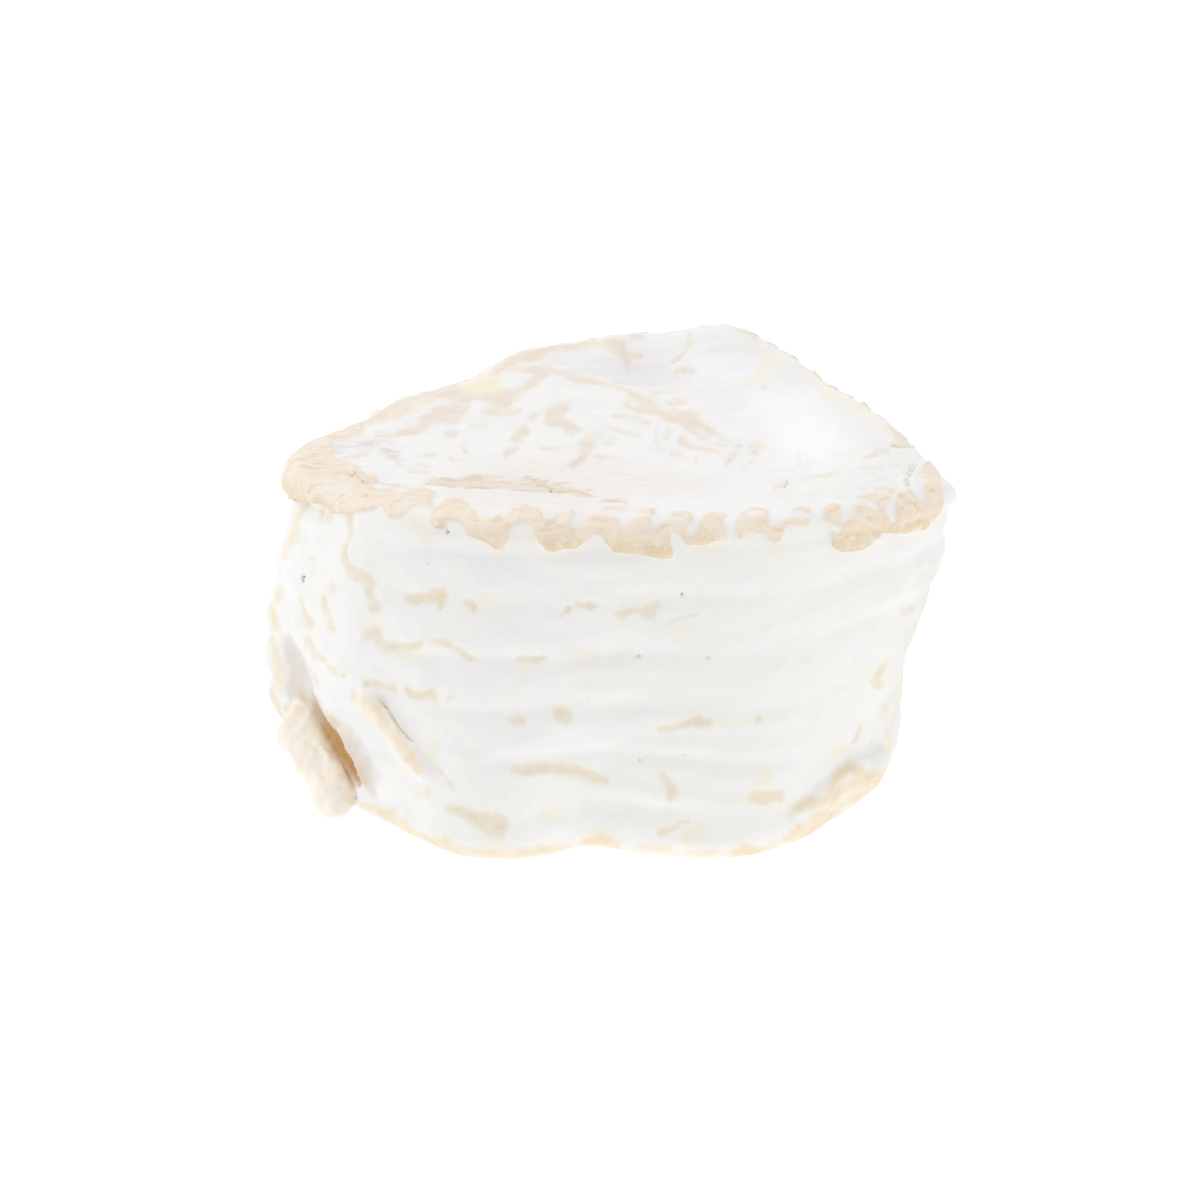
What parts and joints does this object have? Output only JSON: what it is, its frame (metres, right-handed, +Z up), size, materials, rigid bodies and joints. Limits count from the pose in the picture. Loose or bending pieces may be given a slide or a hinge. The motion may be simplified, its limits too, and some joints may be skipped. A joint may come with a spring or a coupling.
{
  "type": "bloomy-rind cheese wheel",
  "caption": "Small soft cheese wheel slumped out of round, with a white ribbed rind, a scalloped tan crust along the raised top edge and a loose flap of rind at its foot.",
  "frame": {"origin": "centre of the underside", "axes": "+Z up through the wheel; -Y towards the flat front face, with the loose flap at its left end; +X to the right"},
  "size_m": [0.0908, 0.0796, 0.0483],
  "materials": {
    "rind": "matt, velvety white mould rind with tan dried crust"
  },
  "bodies": {
    "root": {"cheese_wheel": "rind"}
  },
  "joints": []
}
